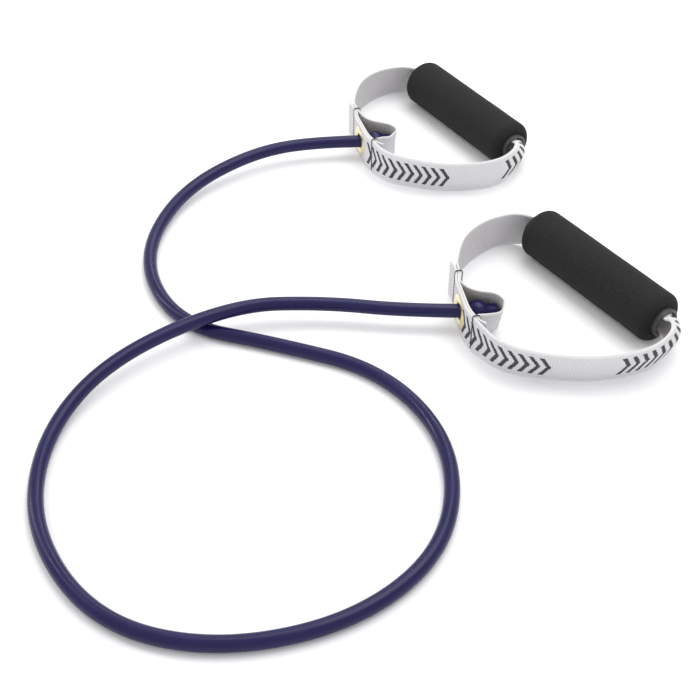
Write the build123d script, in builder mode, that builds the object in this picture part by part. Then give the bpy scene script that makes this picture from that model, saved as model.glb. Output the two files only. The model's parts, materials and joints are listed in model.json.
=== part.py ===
from build123d import *
from math import cos, hypot, pi, radians, sin, sqrt, tan
import os

# Exercise tube with a soft strap handle at each end, lying flat on the ground in a loose figure
# eight. Millimetres, +Z up, origin on the ground midway between the two handles. X runs from the
# loops of the tube towards the grips, and Y from the front handle to the rear one.

os.makedirs("parts", exist_ok=True)

# Tube: the swelling at each end is a ball plug pushed into the tube, then the tube's plain tail
tube_od = 10.4
tube_id = 4.8
ball_lip = 1.8
tail_swell = 0.6
tail_run = 5.5
plug_gap = 0.05
ball_gap = 0.58

# Webbing, and the thread of the seams across it
webbing_width = 32.0
webbing_thickness = 1.6
layer_gap = 0.1
seam_spacing = 52.0
seam_margin = 3.5
tab_length = 11.0
tab_splay = 9.0
stub_length = 6.0
stub_lean = 45.0
pocket_root = 3.0
pocket_bend = 5.0
thread = 0.9
thread_gap = 0.05
thread_low = 2.5

# Eyelet pressed through the doubled webbing, and the washer that it is rolled over
eyelet_clearance = 1.5
eyelet_wall = 0.7
flange_width = 6.3
flange_thickness = 1.1
washer_thickness = 0.8
washer_inset = 1.0
roll_width = 2.0
roll_thickness = 0.8
eyelet_gap = 0.05

# Grip: a foam sleeve on a hard core tube that the webbing runs through
core_length = 142.0
core_od = 22.7
core_wall = 2.5
foam_od = 39.4
foam_setback = 4.0
foam_round = 6.0
foam_gap = 0.05
neck_clearance = 1.85
neck_flare_length = 9.0
neck_flare_reach = 20.0

# How far past the grip's two mouths the webbing turns back, and the share of that its arc takes
near_turn = 11.5
far_turn = 9.0
turn_share = 0.75

# The two handles as they lie. "at" is the middle of the eyelet, and the tube runs through it
# along +X. The plate is the doubled webbing between the seams, and its turn and the grip's are
# about +Z. "near" and "far" are the corners of the webbing's run on the -Y and +Y side, each as
# a share of the straight line from seam to turn and a distance outside that line. Each corner of
# "pocket" is a distance past the tube's end, the side of it (1 for +Y), and a distance out from
# the tail's own side.
handles = {
    "rear": {
        "at": (-105.8, 92.5),
        "plate_turn": 16.5,
        "grip": (92.7, 41.8),
        "grip_turn": -57.0,
        "near": [(0.125, 18.0), (0.405, 29.5), (0.735, 26.5)],
        "far": [(0.35, 33.9), (0.775, 29.1)],
        "pocket": [(9.0, 1, -0.3), (9.0, -1, -4.8), (-11.0, -1, 14.2)],
    },
    "front": {
        "at": (-34.8, -136.5),
        "plate_turn": 10.0,
        "grip": (104.4, 39.5),
        "grip_turn": -55.0,
        "near": [(0.1, 21.8), (0.372, 35.3), (0.749, 33.1)],
        "far": [(0.31, 24.5), (0.79, 21.2)],
        "pocket": [(2.5, 1, 0.7), (2.5, -1, 6.2), (-7.0, -1, 14.7)],
    },
}

# Heights: the webbing stands on its edge on the ground, and so does the foam on its side
tube_radius = tube_od / 2
tube_wall = (tube_od - tube_id) / 2
eyelet_height = webbing_width / 2
grip_height = foam_od / 2

# Places through the plate, from its mid-plane towards the grip
layer_pitch = webbing_thickness + layer_gap
plate_half = webbing_thickness + layer_gap / 2
pocket_face = plate_half + layer_pitch
washer_face = plate_half + washer_thickness
roll_face = washer_face + roll_thickness
half_span = seam_spacing / 2

# Rings round the tube's axis: the bore lets the tube through at a slant, and stops its ball
bore_radius = tube_radius + eyelet_clearance
barrel_radius = bore_radius + eyelet_wall
roll_radius = bore_radius + roll_width
flange_radius = bore_radius + flange_width
washer_radius = flange_radius - washer_inset
ball_radius = bore_radius + ball_lip
tail_radius = tube_radius + tail_swell

# The webbing bends only between a seam's thread and the end of the margin beyond it
seam_bend = seam_margin - thread
pocket_end = thread

# The folded webbing inside the core, and its flare past the mouths
neck_radius = core_od / 2 - core_wall - neck_clearance
flare_radius = neck_radius + neck_flare_reach
flare_start = core_length / 2 + 1
flare_end = flare_start + neck_flare_length

# Places along the tube's end, from the middle of the eyelet towards the grip. The ball stands
# a gap off the crest of the eyelet's roll, on the plate that is turned furthest from square
steepest = radians(max(handle["plate_turn"] for handle in handles.values()))
crest_radius = (bore_radius + roll_radius) / 2
crest_reach = roll_face * cos(steepest) + crest_radius * sin(steepest)
crest_distance = hypot(roll_face, crest_radius)
ball_at = crest_reach + sqrt(crest_reach**2 + (ball_radius + ball_gap) ** 2 - crest_distance**2)
tail_end = ball_at + ball_radius + tail_run

# The tube's middle line from the rear handle's end to the front one's. It leaves each eyelet
# level, comes down to the ground, and passes over itself on the way back to the front handle.
ground = tube_radius
rear_x, rear_y = handles["rear"]["at"]
front_x, front_y = handles["front"]["at"]
route = [
    (rear_x + tail_end, rear_y, eyelet_height),
    (-140, rear_y, eyelet_height),
    (-200, 74, 16),
    (-258, 24, 9),
    (-279, -61, ground),
    (-243, -139, ground),
    (-170, -160, ground),
    (-93, -188, ground),
    (-48, -258, ground),
    (-54, -342, ground),
    (-109, -399, ground),
    (-192, -420, ground),
    (-265, -399, ground),
    (-314, -329, ground),
    (-319, -248, ground),
    (-282, -186, 16),
    (-202, -132, 18),
    (-135, -128, 17),
    (-72, front_y, eyelet_height),
    (front_x + tail_end, front_y, eyelet_height),
]


def corner_radii(points, limits=None, share=0.45):
    """Radius at each corner, for an arc that starts a share of the shorter run before it.
    Where limits has a length for that corner, the arc starts no further than that before it."""
    limits = limits or [None] * (len(points) - 2)
    radii = []
    for before, here, after, limit in zip(points, points[1:], points[2:], limits):
        run_in = Vector(here) - Vector(before)
        run_out = Vector(after) - Vector(here)
        half_turn = radians(run_in.get_angle(run_out) / 2)
        reach = share * min(run_in.length, run_out.length)
        radii.append(min(reach, limit or reach) / tan(half_turn))
    return radii


def plate_point(handle, along, across):
    """A point of the plate: along it towards the near seam, and across it towards the grip."""
    turn = radians(handle["plate_turn"])
    x = handle["at"][0] + along * sin(turn) + across * cos(turn)
    y = handle["at"][1] - along * cos(turn) + across * sin(turn)
    return (x, y)


def grip_point(handle, along):
    """A point of the grip's axis, from its middle towards its near end."""
    turn = radians(handle["grip_turn"])
    x = handle["at"][0] + handle["grip"][0] + along * cos(turn)
    y = handle["at"][1] + handle["grip"][1] + along * sin(turn)
    return (x, y)


def side_points(start, end, corners):
    """Corners to the right of the line from start to end, each a share of it and a distance."""
    run_x, run_y = end[0] - start[0], end[1] - start[1]
    run = hypot(run_x, run_y)
    points = []
    for share, out in corners:
        x = start[0] + share * run_x + out * run_y / run
        y = start[1] + share * run_y - out * run_x / run
        points.append((x, y))
    return points


def axial_plane(x, y, height, turn):
    """Plane whose x runs along an axis turned about +Z, and whose y is straight up."""
    angle = radians(turn)
    along, through = (cos(angle), sin(angle), 0), (sin(angle), -cos(angle), 0)
    return Plane(origin=(x, y, height), x_dir=along, z_dir=through)


def plate_plane(handle, along=0.0, height=0.0):
    """Plane square across the plate, x towards the grip and y up."""
    x, y = plate_point(handle, along, 0)
    return axial_plane(x, y, height, handle["plate_turn"])


def plate_normal_plane(handle):
    """Plane of the plate itself, about the middle of the eyelet."""
    across = plate_plane(handle, height=eyelet_height)
    return Plane(origin=across.origin, z_dir=across.x_dir)


def grip_plane(handle):
    """Plane through the grip's axis, x along it and y up."""
    x, y = grip_point(handle, 0)
    return axial_plane(x, y, grip_height, handle["grip_turn"])


def tube_end_plane(handle):
    """Plane through the axis of the tube's end, x along it and y up."""
    return axial_plane(*handle["at"], eyelet_height, 0)


# The two ends of the tube are turned shapes about its axis, from the neck in the eyelet
def ball_outline(x_from, stem_radius, radius, x_to, end_radius):
    """Half outline of a ball on a stem, from the axis up; the tail may be thicker."""
    neck_x = ball_at - sqrt(radius**2 - stem_radius**2)
    tail_x = ball_at + sqrt(radius**2 - end_radius**2)
    with BuildLine() as outline:
        Polyline((neck_x, stem_radius), (x_from, stem_radius), (x_from, 0), (x_to, 0),
                 (x_to, end_radius), (tail_x, end_radius))
        ThreePointArc((neck_x, stem_radius), (ball_at, radius), (tail_x, end_radius))
    return outline


# Tube: one length of rubber tubing, with both swollen ends
tube_radii = corner_radii(route)
with BuildPart() as tube:
    with BuildLine() as tube_path:
        FilletPolyline(*route, radius=tube_radii)
    with BuildSketch(Plane(origin=tube_path.line @ 0, z_dir=tube_path.line % 0)):
        Circle(tube_radius)
        Circle(tube_id / 2, mode=Mode.SUBTRACT)
    sweep()
    swept_volume = tube.part.volume
    for handle in handles.values():
        end_axis = Axis(tube_end_plane(handle).origin, (1, 0, 0))
        with BuildSketch(tube_end_plane(handle)):
            make_face(ball_outline(roll_face, tube_radius, ball_radius, tail_end, tail_radius).line)
        revolve(axis=end_axis)
        with BuildSketch(tube_end_plane(handle)):
            make_face(ball_outline(roll_face, tube_id / 2, ball_radius - tube_wall, tail_end,
                                   tube_id / 2).line)
        revolve(axis=end_axis, mode=Mode.SUBTRACT)
tube.part.label = "tube"
export_step(tube.part, "parts/tube.step")

tube_length = tube_path.wires()[0].length
tube_section = pi * (tube_radius**2 - (tube_id / 2) ** 2)
run_total = sum((Vector(end) - Vector(start)).length for start, end in zip(route, route[1:]))
print("tube corner radii", [round(radius) for radius in tube_radii])
print("tube length", round(tube_length, 1), "runs added up", round(run_total, 1))
print("tube volume", round(swept_volume), "section times length", round(tube_section * tube_length))

for side, handle in handles.items():
    # Plug: a hard ball on a short stem, inside the tube's end
    with BuildPart() as plug:
        with BuildSketch(tube_end_plane(handle)):
            make_face(ball_outline(roll_face + plug_gap, tube_id / 2 - plug_gap,
                                   ball_radius - tube_wall - plug_gap, tail_end - tube_wall,
                                   tube_id / 2 - plug_gap).line)
        revolve(axis=Axis(tube_end_plane(handle).origin, (1, 0, 0)))
    plug.part.label = side + "_plug"
    export_step(plug.part, "parts/" + side + "_plug.step")

    # Grip core: hard tube with rounded rims, longer than the foam
    core_axis = Axis(grip_plane(handle).origin, grip_plane(handle).x_dir)
    core_middle = (core_od - core_wall) / 2
    with BuildPart() as core:
        with BuildSketch(grip_plane(handle)) as core_section:
            with Locations((0, core_middle)):
                Rectangle(core_length, core_wall)
            fillet(core_section.vertices(), core_wall * 0.35)
        revolve(axis=core_axis)
    core.part.label = side + "_grip_core"
    export_step(core.part, "parts/" + side + "_grip_core.step")

    # Foam grip: sleeve pulled over the core, its outer edges rounded
    foam_inner = core_od / 2 + foam_gap
    foam_length = core_length - 2 * foam_setback
    foam_wall = foam_od / 2 - foam_inner
    with BuildPart() as foam:
        with BuildSketch(grip_plane(handle)) as foam_section:
            with Locations((0, foam_inner + foam_wall / 2)):
                Rectangle(foam_length, foam_wall)
            outer_corners = foam_section.vertices().group_by(Axis.Y)[-1]
            fillet(outer_corners, min(foam_round, foam_wall * 0.9))
        revolve(axis=core_axis)
    foam.part.label = side + "_foam_grip"
    export_step(foam.part, "parts/" + side + "_foam_grip.step")

    # Strap: one length of webbing on its edge. Its outer end is a loose tab past the far seam.
    # It crosses the plate, runs round to the grip, back through it, and crosses the plate again.
    outer, inner = -layer_pitch / 2, layer_pitch / 2
    root = half_span + seam_margin
    splay = radians(tab_splay)
    lean = radians(stub_lean)
    tab_end = plate_point(handle, -root - tab_length * cos(splay), outer - tab_length * sin(splay))
    near_root = plate_point(handle, root, outer)
    near_corner = grip_point(handle, core_length / 2 + near_turn)
    far_corner = grip_point(handle, -core_length / 2 - far_turn)
    far_root = plate_point(handle, -root, inner)
    stub_end = plate_point(handle, root + stub_length * cos(lean), inner + stub_length * sin(lean))
    near_side = side_points(near_root, near_corner, handle["near"])
    far_side = side_points(far_corner, far_root, handle["far"])
    strap_points = [tab_end, plate_point(handle, -root, outer), near_root, *near_side, near_corner,
                    far_corner, *far_side, far_root, plate_point(handle, root, inner), stub_end]
    strap_limits = [seam_bend, seam_bend, *[None] * len(near_side), turn_share * near_turn,
                    turn_share * far_turn, *[None] * len(far_side), seam_bend, seam_bend]
    with BuildPart() as strap:
        with BuildSketch():
            with BuildLine():
                FilletPolyline(*strap_points, radius=corner_radii(strap_points, strap_limits))
            trace(line_width=webbing_thickness)
        extrude(amount=webbing_width)
        # The webbing is folded narrow through the core, and flares out again past its mouths
        with BuildSketch(grip_plane(handle)):
            with BuildLine():
                Polyline((-flare_end, flare_radius), (-flare_start, neck_radius),
                         (flare_start, neck_radius), (flare_end, flare_radius), close=True)
            make_face()
        revolve(axis=core_axis, mode=Mode.SUBTRACT)
        with BuildSketch(plate_normal_plane(handle)):
            Circle(barrel_radius + eyelet_gap)
        extrude(amount=plate_half + webbing_thickness, both=True, mode=Mode.SUBTRACT)
        for seam_along in (-half_span, half_span):
            with BuildSketch(plate_plane(handle, seam_along, thread_low)):
                Rectangle(2 * pocket_face + 2, thread + 2 * thread_gap)
            extrude(amount=thread / 2 + thread_gap, both=True, mode=Mode.SUBTRACT)
    strap.part.label = side + "_strap"
    export_step(strap.part, "parts/" + side + "_strap.step")

    # Pocket: short strip of the same webbing, caught in both seams, that bulges inwards over the
    # tube's end
    pocket_across = plate_half + layer_pitch / 2
    end_x, end_y = handle["at"][0] + tail_end, handle["at"][1]
    pocket_corners = [(end_x + past, end_y + way * (tail_radius + out))
                      for past, way, out in handle["pocket"]]
    pocket_points = [plate_point(handle, -half_span - pocket_end, pocket_across),
                     plate_point(handle, -half_span + pocket_root, pocket_across),
                     *pocket_corners,
                     plate_point(handle, half_span - pocket_root, pocket_across),
                     plate_point(handle, half_span + pocket_end, pocket_across)]
    pocket_limits = [seam_bend, *[pocket_bend] * len(pocket_corners), seam_bend]
    with BuildPart() as pocket:
        with BuildSketch():
            with BuildLine():
                FilletPolyline(*pocket_points, radius=corner_radii(pocket_points, pocket_limits))
            trace(line_width=webbing_thickness)
        extrude(amount=webbing_width)
        for seam_along in (-half_span, half_span):
            with BuildSketch(plate_plane(handle, seam_along, thread_low)):
                Rectangle(2 * pocket_face + 2, thread + 2 * thread_gap)
            extrude(amount=thread / 2 + thread_gap, both=True, mode=Mode.SUBTRACT)
    pocket.part.label = side + "_pocket"
    export_step(pocket.part, "parts/" + side + "_pocket.step")

    # Grommet: brass eyelet, a domed flange outside, a barrel through both layers, and the end of
    # the barrel rolled out over the washer
    eyelet_axis = Axis(plate_plane(handle, height=eyelet_height).origin, plate_plane(handle).x_dir)
    with BuildPart() as grommet:
        with BuildSketch(plate_plane(handle, height=eyelet_height)):
            with BuildLine():
                Polyline((-plate_half, barrel_radius), (-plate_half, flange_radius))
                ThreePointArc((-plate_half, flange_radius),
                              (-plate_half - flange_thickness, (flange_radius + bore_radius) / 2),
                              (-plate_half, bore_radius))
                Polyline((-plate_half, bore_radius), (washer_face, bore_radius))
                ThreePointArc((washer_face, bore_radius), (roll_face, crest_radius),
                              (washer_face, roll_radius))
                Polyline((washer_face, roll_radius), (washer_face, barrel_radius),
                         (-plate_half, barrel_radius))
            make_face()
        revolve(axis=eyelet_axis)
    grommet.part.label = side + "_grommet"
    export_step(grommet.part, "parts/" + side + "_grommet.step")

    # Grommet washer: flat ring between the webbing and the eyelet's rolled end
    washer_inner = barrel_radius + eyelet_gap
    with BuildPart() as washer:
        with BuildSketch(plate_plane(handle, height=eyelet_height)) as washer_section:
            with Locations((plate_half + washer_thickness / 2, (washer_inner + washer_radius) / 2)):
                Rectangle(washer_thickness, washer_radius - washer_inner)
        revolve(axis=eyelet_axis)
    washer.part.label = side + "_grommet_washer"
    export_step(washer.part, "parts/" + side + "_grommet_washer.step")

    # Seams: a run of thread down each side of the three layers, over their top edge, and back
    # through them near the bottom
    layers_middle = (pocket_face - plate_half) / 2
    layers = pocket_face + plate_half + 2 * thread_gap
    thread_top = webbing_width + thread_gap + thread
    for seam, seam_along in (("far", -half_span), ("near", half_span)):
        with BuildPart() as stitching:
            with BuildSketch(plate_plane(handle, seam_along)):
                with Locations((layers_middle, (thread_low - thread / 2 + thread_top) / 2)):
                    Rectangle(layers + 2 * thread, thread_top - thread_low + thread / 2)
                with Locations((layers_middle, (thread_low + thread / 2 + thread_top - thread) / 2)):
                    Rectangle(layers, thread_top - thread - thread_low - thread / 2, mode=Mode.SUBTRACT)
            extrude(amount=thread / 2, both=True)
        stitching.part.label = side + "_seam_" + seam
        export_step(stitching.part, "parts/" + side + "_seam_" + seam + ".step")
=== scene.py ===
import bisect
import bmesh
import bpy
import json
from math import cos, hypot, pi, radians, sin, tan
from mathutils import Matrix, Vector, noise


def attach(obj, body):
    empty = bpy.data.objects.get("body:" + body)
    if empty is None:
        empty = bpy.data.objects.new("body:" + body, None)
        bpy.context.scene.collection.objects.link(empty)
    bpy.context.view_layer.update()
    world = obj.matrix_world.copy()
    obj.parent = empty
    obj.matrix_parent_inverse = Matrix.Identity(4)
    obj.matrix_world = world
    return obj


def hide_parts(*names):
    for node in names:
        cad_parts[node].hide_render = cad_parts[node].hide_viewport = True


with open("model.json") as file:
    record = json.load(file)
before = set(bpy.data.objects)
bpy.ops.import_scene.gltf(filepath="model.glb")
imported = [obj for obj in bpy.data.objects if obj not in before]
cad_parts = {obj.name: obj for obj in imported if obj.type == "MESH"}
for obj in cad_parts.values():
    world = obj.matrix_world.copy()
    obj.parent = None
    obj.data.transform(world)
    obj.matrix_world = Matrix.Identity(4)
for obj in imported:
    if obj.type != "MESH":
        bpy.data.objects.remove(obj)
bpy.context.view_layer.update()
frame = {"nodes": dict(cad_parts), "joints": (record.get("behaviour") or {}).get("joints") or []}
joints = {joint["name"]: joint for joint in frame["joints"]}
sides = ("rear", "front")

# ---------------------------------------------------------------- studio
# A pale seamless floor in a bright white room. One large soft lamp hangs over the object, so
# its shadows are soft, and two narrow ones at its side and back put thin streaks in its gloss.
camera_place = (-0.1158, -0.8145, 0.5883)
camera_pitch = 48.0
camera_lens = 62.6
floor_size = 6.0
floor_colour = (0.93, 0.93, 0.94, 1)
room_colour = (1.0, 1.0, 1.0, 1)
room_strength = 0.9

camera_data = bpy.data.cameras.new("camera")
camera_data.lens = camera_lens
camera_data.sensor_width = 36
camera_data.clip_end = 20
camera = bpy.data.objects.new("camera", camera_data)
camera.location = camera_place
camera.rotation_euler = (radians(camera_pitch), 0, 0)
bpy.context.scene.collection.objects.link(camera)
bpy.context.scene.camera = camera

bm = bmesh.new()
bmesh.ops.create_grid(bm, x_segments=1, y_segments=1, size=floor_size / 2)
floor_mesh = bpy.data.meshes.new("floor")
bm.to_mesh(floor_mesh)
bm.free()
floor = bpy.data.objects.new("floor", floor_mesh)
bpy.context.scene.collection.objects.link(floor)

floor_paint = bpy.data.materials.new("floor_paint")
floor_paint.use_nodes = True
floor_paint.node_tree.nodes["Principled BSDF"].inputs["Base Color"].default_value = floor_colour
floor_paint.node_tree.nodes["Principled BSDF"].inputs["Roughness"].default_value = 0.9
floor_mesh.materials.append(floor_paint)

room = bpy.data.worlds.new("room")
room.use_nodes = True
room.node_tree.nodes["Background"].inputs["Color"].default_value = room_colour
room.node_tree.nodes["Background"].inputs["Strength"].default_value = room_strength
bpy.context.scene.world = room
bpy.context.scene.view_settings.view_transform = "Standard"

# Lamps: name, place, what it points at, width, depth, watts
lamps = [
    ("overhead", (0.25, 0.25, 1.5), (-0.1, -0.1, 0), 1.4, 1.1, 14),
    ("left_strip", (-1.3, 0.3, 0.9), (-0.1, -0.1, 0), 0.08, 1.2, 4),
    ("back_strip", (0.1, 1.3, 1.1), (-0.1, -0.1, 0), 1.2, 0.05, 4),
]
for name, place, target, width, depth, watts in lamps:
    lamp_data = bpy.data.lights.new(name, "AREA")
    lamp_data.shape = "RECTANGLE"
    lamp_data.size = width
    lamp_data.size_y = depth
    lamp_data.energy = watts
    lamp = bpy.data.objects.new(name, lamp_data)
    lamp.location = place
    lamp.rotation_euler = (Vector(target) - Vector(place)).to_track_quat("-Z", "Y").to_euler()
    bpy.context.scene.collection.objects.link(lamp)

# ---------------------------------------------------------------- tube
# One length of thick-walled rubber exercise tubing, extruded, navy blue, with a dull waxy
# bloom. Each end is swollen over a ball plug, which is what keeps it in the handle's eyelet.
tube_diameter = 0.0104
tube_bore = 0.0048
ball_radius = 0.0085
ball_from_end = 0.0140
tail_radius = 0.0058
tail_rim = 0.0007
bore_depth = 0.004
ball_rings = 15
ball_foot = 0.0015
tube_ring_sides = 32
tube_ring_pitch = 0.004
up = Vector((0, 0, 1))
rear_end = -0.0801
front_end = -0.0091
eyelet_height = 0.016
ground = tube_diameter / 2
tube_route = [
    (rear_end, 0.0925, eyelet_height),
    (-0.140, 0.0925, eyelet_height),
    (-0.200, 0.074, 0.016),
    (-0.258, 0.024, 0.009),
    (-0.279, -0.061, ground),
    (-0.243, -0.139, ground),
    (-0.170, -0.160, ground),
    (-0.093, -0.188, ground),
    (-0.048, -0.258, ground),
    (-0.054, -0.342, ground),
    (-0.109, -0.399, ground),
    (-0.192, -0.420, ground),
    (-0.265, -0.399, ground),
    (-0.314, -0.329, ground),
    (-0.319, -0.248, ground),
    (-0.282, -0.186, 0.016),
    (-0.202, -0.132, 0.018),
    (-0.135, -0.128, 0.017),
    (-0.072, -0.1365, eyelet_height),
    (front_end, -0.1365, eyelet_height),
]


def smooth_line(points):
    """The points of a smooth spline that has these points as its control points."""
    data = bpy.data.curves.new("line", "CURVE")
    data.dimensions = "3D"
    data.resolution_u = 24
    spline = data.splines.new("NURBS")
    spline.points.add(len(points) - 1)
    for control, point in zip(spline.points, points):
        control.co = (*point, 1)
    spline.order_u = 3
    spline.use_endpoint_u = True
    holder = bpy.data.objects.new("line", data)
    mesh = bpy.data.meshes.new_from_object(holder)
    line = [vertex.co.copy() for vertex in mesh.vertices]
    bpy.data.meshes.remove(mesh)
    bpy.data.objects.remove(holder)
    bpy.data.curves.remove(data)
    return line


def distances(line):
    """How far along the line each of its points is."""
    total, along = 0.0, [0.0]
    for before, here in zip(line, line[1:]):
        total += (here - before).length
        along.append(total)
    return along


def spot(line, along, distance):
    """The line's point at a distance along it, and its direction there."""
    index = min(max(bisect.bisect_right(along, distance) - 1, 0), len(line) - 2)
    share = (distance - along[index]) / (along[index + 1] - along[index])
    before = line[max(index - 1, 0)]
    after = line[min(index + 2, len(line) - 1)]
    start_way = (line[index + 1] - before).normalized()
    end_way = (after - line[index]).normalized()
    return line[index].lerp(line[index + 1], share), start_way.lerp(end_way, share).normalized()


def show(name, bm, materials, smooth=True):
    """Makes the bmesh an object, with these materials."""
    mesh = bpy.data.meshes.new(name)
    bm.to_mesh(mesh)
    bm.free()
    if smooth:
        mesh.shade_smooth()
    for material in materials:
        mesh.materials.append(material)
    piece = bpy.data.objects.new(name, mesh)
    bpy.context.scene.collection.objects.link(piece)
    return piece


def painted(name, colour, roughness, **settings):
    """A material with these plain values, and its shader."""
    material = bpy.data.materials.new(name)
    material.use_nodes = True
    shader = material.node_tree.nodes["Principled BSDF"]
    shader.inputs["Base Color"].default_value = (*colour, 1)
    shader.inputs["Roughness"].default_value = roughness
    for socket, value in settings.items():
        shader.inputs[socket.replace("_", " ")].default_value = value
    return material, shader


def node(tree, kind, inputs=None, **settings):
    """A node of this kind; an input is a value, or another node's output to link."""
    made = tree.nodes.new(kind)
    for setting, value in settings.items():
        setattr(made, setting, value)
    for socket, value in (inputs or {}).items():
        if isinstance(value, bpy.types.NodeSocket):
            tree.links.new(value, made.inputs[socket])
        else:
            made.inputs[socket].default_value = value
    return made


def mottled_group():
    """Node group: slow patches and fine grain on Object coordinates, and a bump from the grain."""
    group = bpy.data.node_groups.new("mottled", "ShaderNodeTree")
    for socket in ("Patch Size", "Grain Size", "Depth"):
        group.interface.new_socket(socket, in_out="INPUT", socket_type="NodeSocketFloat")
    group.interface.new_socket("Patches", in_out="OUTPUT", socket_type="NodeSocketFloat")
    group.interface.new_socket("Normal", in_out="OUTPUT", socket_type="NodeSocketVector")
    given = group.nodes.new("NodeGroupInput").outputs
    place = node(group, "ShaderNodeTexCoord").outputs["Object"]
    patches = node(group, "ShaderNodeTexNoise",
                   {"Vector": place, "Scale": given["Patch Size"], "Detail": 3.0})
    grain = node(group, "ShaderNodeTexNoise",
                 {"Vector": place, "Scale": given["Grain Size"], "Detail": 4.0})
    bump = node(group, "ShaderNodeBump", {"Height": grain.outputs["Fac"], "Distance": given["Depth"]})
    result = group.nodes.new("NodeGroupOutput")
    group.links.new(patches.outputs["Fac"], result.inputs["Patches"])
    group.links.new(bump.outputs["Normal"], result.inputs["Normal"])
    return group


mottled = mottled_group()


def mottle(material, shader, dark, light, patch, grain, depth, dull, glossy):
    """Gives a material slow colour patches, a bump of fine grain, and roughness that follows the
    patches.
    """
    tree = material.node_tree
    effect = node(tree, "ShaderNodeGroup", node_tree=mottled)
    effect.inputs["Patch Size"].default_value = patch
    effect.inputs["Grain Size"].default_value = grain
    effect.inputs["Depth"].default_value = depth
    colour = node(tree, "ShaderNodeMix", {"Factor": effect.outputs["Patches"]}, data_type="RGBA")
    colour.inputs["A"].default_value = (*dark, 1)
    colour.inputs["B"].default_value = (*light, 1)
    tree.links.new(colour.outputs["Result"], shader.inputs["Base Color"])
    rough = node(tree, "ShaderNodeMapRange",
                 {"Value": effect.outputs["Patches"], "From Min": 0.35, "From Max": 0.65,
                  "To Min": glossy, "To Max": dull})
    tree.links.new(rough.outputs["Result"], shader.inputs["Roughness"])
    tree.links.new(effect.outputs["Normal"], shader.inputs["Normal"])


def end_profile():
    """The tube's end, from its bore out round the tail and the ball to the plain tube. Each ring
    is a distance from the end and a radius."""
    bore = tube_bore / 2
    rings = [(bore_depth, bore), (tail_rim, bore), (0, bore + tail_rim), (0, tail_radius - tail_rim)]
    rings += [(tail_rim * 0.3, tail_radius - tail_rim * 0.3), (tail_rim, tail_radius)]
    for step in range(ball_rings):
        angle = pi * (0.235 + 0.56 * step / (ball_rings - 1))
        rings.append((ball_from_end - ball_radius * cos(angle), ball_radius * sin(angle)))
    return rings


line = smooth_line(tube_route)
along = distances(line)
length = along[-1]
tube_radius = tube_diameter / 2
rings = end_profile()
plain_start = rings[-1][0] + ball_foot
plain_count = round((length - 2 * plain_start) / tube_ring_pitch)
rings += [(plain_start + (length - 2 * plain_start) * step / plain_count, tube_radius)
          for step in range(plain_count + 1)]
rings += [(length - distance, radius) for distance, radius in reversed(end_profile())]


def ring_matrix(distance, radius):
    """Where a ring of radius 1 about +Z goes on the tube's line."""
    middle, way = spot(line, along, distance)
    across = way.cross(up).normalized()
    turned = Matrix((across, across.cross(way), way)).transposed().to_4x4()
    return Matrix.Translation(middle) @ turned @ Matrix.Diagonal((radius, radius, 1, 1))


bm = bmesh.new()
made = bmesh.ops.create_circle(bm, cap_ends=True, segments=tube_ring_sides, radius=1)
placed = ring_matrix(*rings[0])
bmesh.ops.transform(bm, matrix=placed, verts=made["verts"])
edges = bm.edges[:]
for ring in rings[1:]:
    made = bmesh.ops.extrude_edge_only(bm, edges=edges)["geom"]
    edges = [item for item in made if isinstance(item, bmesh.types.BMEdge)]
    verts = [item for item in made if isinstance(item, bmesh.types.BMVert)]
    following = ring_matrix(*ring)
    bmesh.ops.transform(bm, matrix=following @ placed.inverted(), verts=verts)
    placed = following
bmesh.ops.edgeloop_fill(bm, edges=edges)
bmesh.ops.recalc_face_normals(bm, faces=bm.faces)

rubber, shader = painted("navy_rubber", (0.009, 0.007, 0.060), 0.3, Specular_IOR_Level=0.25)
mottle(rubber, shader, (0.007, 0.0055, 0.048), (0.011, 0.009, 0.072), 35, 1400, 0.00004, 0.34, 0.20)
tube = show("rubber_tube", bm, [rubber])
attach(tube, "tube")
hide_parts("tube")
walk_step = 0.003
walk_count = int(length / walk_step) + 2
walk = [spot(line, along, min(walk_step * index, length))[0] for index in range(walk_count)]

plastic, shader = painted("plug_plastic", (0.05, 0.05, 0.055), 0.45)
mottle(plastic, shader, (0.03, 0.03, 0.035), (0.06, 0.06, 0.065), 120, 2500, 0.00003, 0.55, 0.4)
for side in sides:
    plug = frame["nodes"][side + "_plug"]
    plug.data.materials.clear()
    plug.data.materials.append(plastic)

# ---------------------------------------------------------------- grip cores
# A hard tube in each grip, moulded in dark grey plastic with rounded rims. The foam is pulled
# over it and leaves both rims bare, and the webbing runs through it.
mm = 0.001
core_length = 142 * mm
core_plastic, shader = painted("core_plastic", (0.045, 0.043, 0.041), 0.45)
mottle(core_plastic, shader, (0.036, 0.035, 0.033), (0.052, 0.050, 0.048), 90, 2200, 0.00004, 0.5, 0.36)
for side in sides:
    core = frame["nodes"][side + "_grip_core"]
    core.data.materials.clear()
    core.data.materials.append(core_plastic)


def grip_spot(side, along_grip, out=0.0):
    """A point level with the grip's axis: along it to its near end, and out from the eyelet."""
    joint = joints[side + "_grip_spin"]
    axis = Vector(joint["axis"])
    return Vector(joint["pos_m"]) + axis * along_grip + up.cross(axis) * out


# ---------------------------------------------------------------- foam grips
# A sleeve of black closed-cell foam on each core, cut to length and its outer edges rounded.
# Its skin is dull and fine-pored, and it gives a little, so it is never quite true.
foam_radius = 19.7 * mm
foam_bore = 11.45 * mm
foam_length = 134 * mm
foam_round = 6.5 * mm
foam_rings = 48
foam_steps = 72
foam_round_steps = 8
foam_sway = 0.16 * mm

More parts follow.
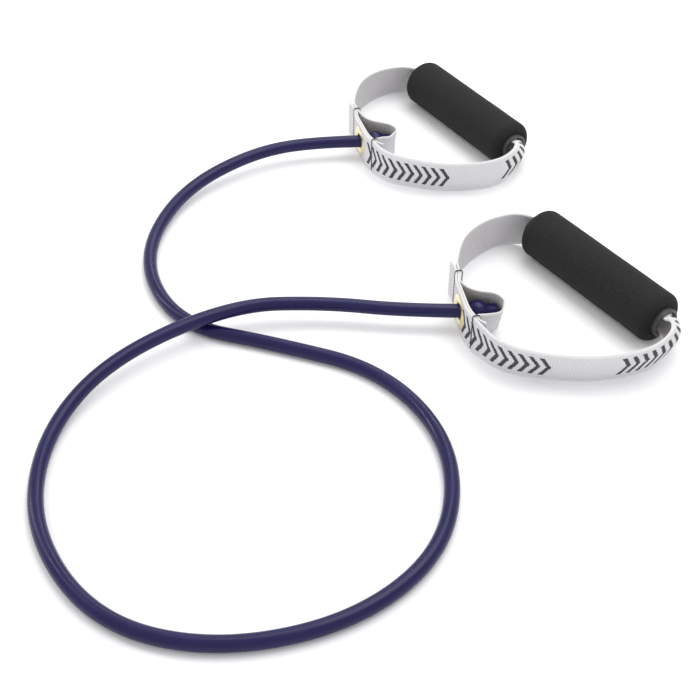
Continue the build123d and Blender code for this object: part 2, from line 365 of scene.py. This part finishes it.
foam_skin, shader = painted("foam_skin", (0.026, 0.0245, 0.0235), 0.95, Specular_IOR_Level=0.25)
mottle(foam_skin, shader, (0.004, 0.004, 0.0038), (0.034, 0.032, 0.031), 520, 1600, 0.0009, 1.0, 0.86)
for side in sides:
    bm = bmesh.new()
    end, half = foam_length / 2, foam_length / 2 - foam_round
    corners = [(-end, foam_bore)]
    for step in range(foam_round_steps + 1):
        angle = pi / 2 * step / foam_round_steps
        rounded = foam_radius - foam_round * (1 - sin(angle))
        corners.append((-half - foam_round * cos(angle), rounded))
    far_corners = corners[::-1]
    corners += [(-half + 2 * half * step / foam_rings, foam_radius) for step in range(1, foam_rings)]
    corners += [(-x, radius) for x, radius in far_corners]
    outline = [bm.verts.new((x, 0, radius)) for x, radius in corners]
    edges = [bm.edges.new(pair) for pair in zip(outline, outline[1:] + outline[:1])]
    bmesh.ops.spin(bm, geom=outline + edges, axis=(1, 0, 0), cent=(0, 0, 0), angle=2 * pi,
                   steps=foam_steps, use_merge=True)
    bmesh.ops.remove_doubles(bm, verts=bm.verts, dist=0.01 * mm)
    bmesh.ops.recalc_face_normals(bm, faces=bm.faces)
    for vert in bm.verts:
        if hypot(vert.co.y, vert.co.z) > foam_bore + mm:
            swell = noise.noise(Vector((vert.co.x * 45, vert.co.y * 90, vert.co.z * 90)))
            vert.co.yz *= 1 + foam_sway * swell / foam_radius
    axis = Vector(joints[side + "_grip_spin"]["axis"])
    place = Matrix((axis, up.cross(axis), up)).transposed().to_4x4()
    place.translation = grip_spot(side, 0)
    bmesh.ops.transform(bm, matrix=place, verts=bm.verts)
    foam = show(side + "_foam_sleeve", bm, [foam_skin])
    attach(foam, side + "_grip")
    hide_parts(side + "_foam_grip")

# ---------------------------------------------------------------- straps
# One length of off-white ribbed webbing for each handle, standing on its edge. Its end is a
# loose tab past the far seam. It crosses the plate, runs round to the grip, curls up to go
# through the core, comes back, and crosses the plate again as the inner layer.
webbing_width = 32 * mm
webbing_thickness = 1.35 * mm
layer_half = 0.85 * mm
seam_half = 26 * mm
margin = 3.5 * mm
tab_length = 10.9 * mm
tab_splay = 1.8 * mm
stub = 4.3 * mm
curl_radius = 7.6 * mm
grip_height = 19.7 * mm
eyelet_hole = 8.2 * mm
cloth_row = 1.2 * mm
cloth_columns = 16
plate_turn = {"rear": 16.5, "front": 10.0}
plate_flat = 13 * mm
plate_bow = 2.8 * mm
bow_limit = 1.15
print_from = {"rear": 64 * mm, "front": 55 * mm}

# The webbing's course from the near seam to the grip and from the grip back to the far seam: x
# and y from the eyelet in millimetres, how far its top leans in degrees to the right of its way
# along, its curl, and where its top runs ahead of its bottom, that skew in degrees
near_course = {
    "rear": [(15, -33.5, 3, 0), (22.5, -41.5, 6, 0), (32, -46, 9, 0), (46.5, -51, 11, 0),
             (58, -54, 12, 0), (72, -56, 13, 0), (97, -54.5, 13, 0), (117, -47, 11, 0),
             (132, -36, 8, 0.3), (139, -23.5, 3, 0.9)],
    "front": [(13, -35.5, 4, 0), (20.5, -46, 8, 0), (30, -52, 11, 0), (43, -56.5, 14, 0),
              (60, -60, 16, 0), (84, -62, 16, 0), (109, -58.5, 16, 0), (131, -50, 13, 0),
              (147, -39, 9, 0.3), (154.5, -26.5, 3, 0.9)],
}
far_course = {
    "rear": [(57, 109, 0, 0.75), (48, 109.5, -12, 0.35), (38, 108.5, -16, 0.05), (29, 105.5, -15, 0),
             (18, 99, -10, 0), (7, 88.5, -6, 0), (-1, 76, -5, 0), (-5, 60, -3, 0), (-6.5, 46, -1, 0),
             (-6.5, 36, 0, 0)],
    "front": [(66, 104.5, 0, 0.75), (56, 104, -3, 0.35), (46, 102.5, -6, 0.1), (36, 98, -6, 0),
              (26, 92, -2, 0), (14.5, 81.5, 0, 0), (6, 69.5, -1, 0), (1.5, 57, -2, 0), (-1, 45, -2, 0),
              (-2, 36, -1, 0)],
}


def calc(tree, operation, *values):
    """The output of a Math node; each value is a number or a socket."""
    made = node(tree, "ShaderNodeMath", operation=operation)
    for socket, value in zip(made.inputs, values):
        if isinstance(value, bpy.types.NodeSocket):
            tree.links.new(value, socket)
        else:
            socket.default_value = value
    return made.outputs["Value"]


def woven_group():
    """Node group on the cloth's own coordinates in metres, x along it and y across from its
    middle. It gives the weave's bump, painted shade in its grooves, and the dark woven pattern."""
    rib, warp, rib_share = 1.6 * mm, 1.05 * mm, 0.62
    selvedge_width = 2 * mm
    stitch = 0.8 * mm
    print_repeat, print_length, print_half = 130 * mm, 81 * mm, 10.2 * mm
    chevron_pitch, chevron_width = 7.4 * mm, 3.3 * mm
    group = bpy.data.node_groups.new("woven", "ShaderNodeTree")
    group.interface.new_socket("Pattern", in_out="INPUT", socket_type="NodeSocketFloat")
    for socket in ("Dark", "Between"):
        group.interface.new_socket(socket, in_out="OUTPUT", socket_type="NodeSocketFloat")
    group.interface.new_socket("Normal", in_out="OUTPUT", socket_type="NodeSocketVector")
    given = group.nodes.new("NodeGroupInput").outputs
    cloth = node(group, "ShaderNodeUVMap", uv_map="cloth").outputs["UV"]
    split = node(group, "ShaderNodeSeparateXYZ", {"Vector": cloth})
    u, v = split.outputs["X"], split.outputs["Y"]
    edge = calc(group, "ABSOLUTE", v)

    # Threads: ribs across the webbing, broken into floats that alternate from rib to rib
    row = calc(group, "DIVIDE", u, rib)
    rib_wave = calc(group, "SINE", calc(group, "MULTIPLY", row, pi))
    rib_swell = calc(group, "ABSOLUTE", rib_wave)
    shift = calc(group, "MULTIPLY", calc(group, "FLOOR", row), 0.5)
    float_at = calc(group, "ADD", calc(group, "DIVIDE", v, warp), shift)
    float_wave = calc(group, "SINE", calc(group, "MULTIPLY", float_at, pi))
    float_swell = calc(group, "ABSOLUTE", float_wave)
    rib_height = calc(group, "MULTIPLY", rib_swell, rib_share)
    float_height = calc(group, "MULTIPLY", float_swell, 1 - rib_share)
    weave = calc(group, "ADD", rib_height, float_height)
    selvedge = calc(group, "GREATER_THAN", edge, webbing_width / 2 - selvedge_width)
    body = calc(group, "SUBTRACT", 1.0, selvedge)
    selvedge_height = calc(group, "MULTIPLY", selvedge, 0.9)
    height = calc(group, "ADD", calc(group, "MULTIPLY", weave, body), selvedge_height)
    bump = node(group, "ShaderNodeBump", {"Height": height, "Distance": 0.3 * mm, "Strength": 0.9})

    # Pattern: groups of dark chevrons, stepped as a loom steps them, with plain webbing between
    stitch_u = calc(group, "FLOOR", calc(group, "DIVIDE", u, stitch))
    stitch_v = calc(group, "FLOOR", calc(group, "DIVIDE", edge, stitch))
    step_u = calc(group, "MULTIPLY", stitch_u, stitch)
    step_v = calc(group, "MULTIPLY", stitch_v, stitch)
    slanted = calc(group, "ADD", step_u, calc(group, "MULTIPLY", step_v, 0.55))
    in_repeat = calc(group, "WRAP", slanted, print_repeat, 0.0)
    in_group = calc(group, "LESS_THAN", in_repeat, print_length)
    begun = calc(group, "GREATER_THAN", slanted, -0.5 * stitch)
    in_band = calc(group, "LESS_THAN", step_v, print_half)
    from_chevron = calc(group, "WRAP", in_repeat, chevron_pitch, 0.0)
    in_chevron = calc(group, "LESS_THAN", from_chevron, chevron_width)
    within = calc(group, "MULTIPLY", calc(group, "MULTIPLY", in_group, begun), in_band)
    drawn = calc(group, "MULTIPLY", in_chevron, within)
    speck = calc(group, "ADD", calc(group, "MULTIPLY", float_swell, 0.16), 0.84)
    dark = calc(group, "MULTIPLY", calc(group, "MULTIPLY", drawn, speck), given["Pattern"])

    # Painted shade: darker where the weave is low, down in its grooves; none on the selvedge.
    painted_shade = calc(group, "MULTIPLY", calc(group, "SUBTRACT", 1.0, weave), body)
    result = group.nodes.new("NodeGroupOutput")
    group.links.new(dark, result.inputs["Dark"])
    group.links.new(painted_shade, result.inputs["Between"])
    group.links.new(bump.outputs["Normal"], result.inputs["Normal"])
    return group


woven = woven_group()


def webbing_cloth(name, pattern, thread_colour, dark_colour):
    """One side of the webbing: off-white thread darkened by painted shade in the weave's grooves,
    with the dark pattern at this strength.
    """
    material, shader = painted(name, thread_colour, 0.9, Specular_IOR_Level=0.3)
    tree = material.node_tree
    weave = node(tree, "ShaderNodeGroup", node_tree=woven)
    weave.inputs["Pattern"].default_value = pattern
    # Painted shade: the thread colour is mixed towards 0.45 of itself in the weave's grooves.
    depth = calc(tree, "MULTIPLY", weave.outputs["Between"], 0.5)
    shade = node(tree, "ShaderNodeMix", {"Factor": depth}, data_type="RGBA")
    shade.inputs["A"].default_value = (*thread_colour, 1)
    shade.inputs["B"].default_value = (*(0.45 * value for value in thread_colour), 1)
    colour = node(tree, "ShaderNodeMix", {"Factor": weave.outputs["Dark"]}, data_type="RGBA")
    tree.links.new(shade.outputs["Result"], colour.inputs["A"])
    colour.inputs["B"].default_value = (*dark_colour, 1)
    tree.links.new(colour.outputs["Result"], shader.inputs["Base Color"])
    tree.links.new(weave.outputs["Normal"], shader.inputs["Normal"])
    return material


face_cloth = webbing_cloth("webbing_face", 1.0, (0.74, 0.73, 0.75), (0.022, 0.021, 0.022))
back_cloth = webbing_cloth("webbing_back", 0.07, (0.68, 0.665, 0.68), (0.35, 0.30, 0.32))
edge_cloth = webbing_cloth("webbing_selvedge", 0.0, (0.62, 0.61, 0.60), (0.6, 0.6, 0.6))


def plate_spot(side, along_plate, across):
    """x and y of a point of the plate: along it to the near seam, and across towards the grip.
    The plate is flat round the eyelet, and its ends bow a little towards the grip."""
    turn = radians(plate_turn[side])
    past = max(abs(along_plate) - plate_flat, 0) / (seam_half - plate_flat)
    across += plate_bow * min(past, bow_limit) ** 2
    x, y, _ = joints[side + "_swivel"]["pos_m"]
    x += along_plate * sin(turn) + across * cos(turn)
    y += across * sin(turn) - along_plate * cos(turn)
    return x, y


def course_spots(side, course):
    """The course's points placed, each x, y, lean in radians, curl, and any skew in radians."""
    x, y, _ = joints[side + "_swivel"]["pos_m"]
    return [(x + dx * mm, y + dy * mm, radians(lean), curl, *map(radians, skew))
            for dx, dy, lean, curl, *skew in course]


def lay_webbing(name, course, holes, print_start):
    """Cuts a length of webbing flat, with holes at these places, and lays it on edge along its
    course, curled where the course says. Its pattern starts this far along."""
    middle = smooth_line([(point[0], point[1], 0) for point in course])
    shape = smooth_line([(*point[2:], 0)[:3] for point in course])
    passed = distances(middle)
    total = passed[-1]
    bm = bmesh.new()
    cloth = bm.loops.layers.uv.new("cloth")
    bmesh.ops.create_grid(bm, x_segments=round(total / cloth_row), y_segments=cloth_columns, size=0.5,
                          matrix=Matrix.Diagonal((total, webbing_width, 1, 1)))
    bmesh.ops.translate(bm, vec=(total / 2, 0, 0), verts=bm.verts)
    for hole in holes:
        centre = min(range(len(middle)), key=lambda index: (middle[index].xy - Vector(hole)).length)
        eyelet = Vector((passed[centre], 0))
        inside = [vert for vert in bm.verts if (vert.co.xy - eyelet).length < eyelet_hole]
        bmesh.ops.delete(bm, geom=inside, context="VERTS")
        for vert in bm.verts:
            reach = (vert.co.xy - eyelet).length
            if vert.is_boundary and reach < eyelet_hole * 1.6:
                vert.co.xy = eyelet + (vert.co.xy - eyelet) * (eyelet_hole / reach)
    for face in bm.faces:
        for loop in face.loops:
            loop[cloth].uv = (loop.vert.co.x - print_start, loop.vert.co.y)
    for vert in bm.verts:
        distance, across = vert.co.x, vert.co.y
        place, way = spot(middle, passed, distance)
        lean, curl, skew = spot(shape, passed, distance)[0]
        right = way.cross(up)
        rising = (up + right * tan(lean) + way * tan(skew)).normalized()
        inward = rising.cross(way).normalized()
        place.z = (1 - curl) * webbing_width / 2 * rising.z + curl * grip_height
        bend = max(curl, 0.001) / curl_radius
        turned = bend * across
        vert.co = place + rising * sin(turned) / bend + inward * (1 - cos(turned)) / bend
    strip = show(name, bm, [face_cloth, back_cloth, edge_cloth])
    thick = strip.modifiers.new("thickness", "SOLIDIFY")
    thick.thickness = webbing_thickness
    thick.offset = 0
    thick.material_offset = 1
    thick.material_offset_rim = 2
    rounding = strip.modifiers.new("rounding", "BEVEL")
    rounding.width = 0.5 * mm
    rounding.segments = 3
    rounding.limit_method = "ANGLE"
    rounding.angle_limit = radians(50)
    return strip, total


straps = {}
for side in sides:
    stations = [seam_half * share / 4 for share in range(-4, 5)]
    flat = [(*plate_spot(side, station, -layer_half), 0, 0) for station in stations]
    back = [(*plate_spot(side, station, layer_half), 0, 0) for station in stations]
    through = [(*grip_spot(side, core_length / 2 * share, curl_radius).xy, 0, 1)
               for share in (1, 0.8, -0.8, -1)]
    course = [(*plate_spot(side, -seam_half - margin - tab_length, -layer_half - tab_splay), 0, 0),
              (*plate_spot(side, -seam_half - margin, -layer_half), 0, 0), *flat,
              (*plate_spot(side, seam_half + margin, -layer_half), 0, 0),
              *course_spots(side, near_course[side]), *through, *course_spots(side, far_course[side]),
              (*plate_spot(side, -seam_half - margin, layer_half), 0, 0), *back,
              (*plate_spot(side, seam_half + margin, layer_half), 0, 0),
              (*plate_spot(side, seam_half + margin + stub, layer_half + stub), 0, 0)]
    holes = [plate_spot(side, 0, -layer_half), plate_spot(side, 0, layer_half)]
    strap, strap_length = lay_webbing(side + "_strap_webbing", course, holes, print_from[side])
    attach(strap, side + "_strap")
    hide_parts(side + "_strap")
    straps[side] = strap

# ---------------------------------------------------------------- pockets
# A short strip of the same webbing, caught in both seams, that goes round the tube's end and
# keeps it off the hand. It leans towards the front of the scene, over the ball. No pattern
# falls on it but at its far end.
pocket_course = {
    "rear": [(12.5, -20, 5, 0), (16, -15.5, 12, 0), (22, -10.5, 20, 0, -6), (27, -4.5, 12, 0, -20),
             (29.5, 3, 0, 0, -30), (25.5, 8.7, -14, 0, -18), (17, 12, -18, 0), (8.5, 16, -18, 0),
             (2, 21.5, -12, 0)],
    "front": [(11, -20.5, 8, 0), (17, -16, 18, 0), (23.5, -11.5, 24, 0), (28.5, -5.5, 14, 0, -15),
              (30, 1.5, 0, 0, -28), (27, 7, -14, 0, -18), (21.5, 10.2, -20, 0), (14, 11.8, -21, 0),
              (7, 13.8, -18, 0), (1.5, 17.5, -10, 0)],
}
pocket_print_from = 70 * mm
root_inside, root_outside = 2.5 * mm, 1 * mm
for side in sides:
    across = 3 * layer_half
    course = [(*plate_spot(side, seam_half + root_outside, across), 0, 0),
              (*plate_spot(side, seam_half - root_inside, across), 0, 0),
              *course_spots(side, pocket_course[side]),
              (*plate_spot(side, -seam_half + root_inside, across), 0, 0),
              (*plate_spot(side, -seam_half - root_outside, across), 0, 0)]
    pocket, pocket_length = lay_webbing(side + "_pocket_webbing", course, [], pocket_print_from)
    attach(pocket, side + "_strap")
    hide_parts(side + "_pocket")

# ---------------------------------------------------------------- eyelets
# A brass eyelet through both layers of each plate, stamped from thin sheet, and the washer
# that its end is rolled over. The lacquered brass is pale, and duller in patches.
brass, shader = painted("brass", (0.80, 0.70, 0.42), 0.3, Metallic=1.0)
mottle(brass, shader, (0.74, 0.63, 0.37), (0.86, 0.77, 0.50), 130, 1800, 0.00003, 0.42, 0.24)
for side in sides:
    for name in (side + "_grommet", side + "_grommet_washer"):
        ring = frame["nodes"][name]
        ring.data.materials.clear()
        ring.data.materials.append(brass)

# ---------------------------------------------------------------- seams
# Dark grey two-ply thread, sewn in one line through all the layers at each end of the plate.
# It shows as a row of stitches down both faces, and loops over the top edges.
thread_radius = 0.52 * mm
thread_pitch = 0.5 * mm
thread_sides = 10
thread_sunk = 0.8 * thread_radius
ply_turn = 0.5
stitch_count = 9
seam_bottom = 2.5 * mm
face_top = 31.8 * mm
seam_top = 33 * mm
thread_dark, shader = painted("seam_thread", (0.05, 0.047, 0.048), 0.7, Sheen_Weight=0.2)
mottle(thread_dark, shader, (0.035, 0.033, 0.034), (0.075, 0.07, 0.07), 300, 3500, 0.00006, 0.8, 0.6)
for side in sides:
    for seam, seam_along in (("far", -seam_half), ("near", seam_half)):
        proud = webbing_thickness / 2 + 0.7 * thread_radius
        low_face, high_face = -layer_half - proud, 3 * layer_half + proud
        low_side, high_side = [], []
        for index in range(4 * stitch_count + 1):
            sunk = thread_sunk * (index % 4 == 0)
            height = seam_bottom + (face_top - seam_bottom) * index / (4 * stitch_count)
            low_side.append((low_face + sunk, height))
            high_side.append((high_face - sunk, height))
        over_top = [(low_face * 0.75, seam_top), (high_face * 0.75, seam_top)]
        points = low_side + over_top + high_side[::-1]
        thread_line = smooth_line([(*plate_spot(side, seam_along, x), z) for x, z in points])
        thread_passed = distances(thread_line)
        bm = bmesh.new()
        made = bmesh.ops.create_circle(bm, cap_ends=True, segments=thread_sides, radius=1)
        for index, vert in enumerate(made["verts"]):
            vert.co *= 0.82 + 0.18 * abs(cos(2 * pi * index / thread_sides))
        turn = radians(plate_turn[side])
        across = Vector((sin(turn), -cos(turn), 0))
        placed = Matrix.Identity(4)
        edges = bm.edges[:]
        verts = made["verts"]
        for index in range(int(thread_passed[-1] / thread_pitch) + 1):
            middle, way = spot(thread_line, thread_passed, index * thread_pitch)
            turned = Matrix((across, way.cross(across), way)).transposed().to_4x4()
            following = (Matrix.Translation(middle) @ turned @ Matrix.Rotation(index * ply_turn, 4, "Z")
                         @ Matrix.Diagonal((thread_radius, thread_radius, 1, 1)))
            if index:
                made = bmesh.ops.extrude_edge_only(bm, edges=edges)["geom"]
                edges = [item for item in made if isinstance(item, bmesh.types.BMEdge)]
                verts = [item for item in made if isinstance(item, bmesh.types.BMVert)]
            bmesh.ops.transform(bm, matrix=following @ placed.inverted(), verts=verts)
            placed = following
        bmesh.ops.edgeloop_fill(bm, edges=edges)
        bmesh.ops.recalc_face_normals(bm, faces=bm.faces)
        stitches = show(side + "_stitches_" + seam, bm, [thread_dark])
        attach(stitches, side + "_strap")
        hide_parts(side + "_seam_" + seam)
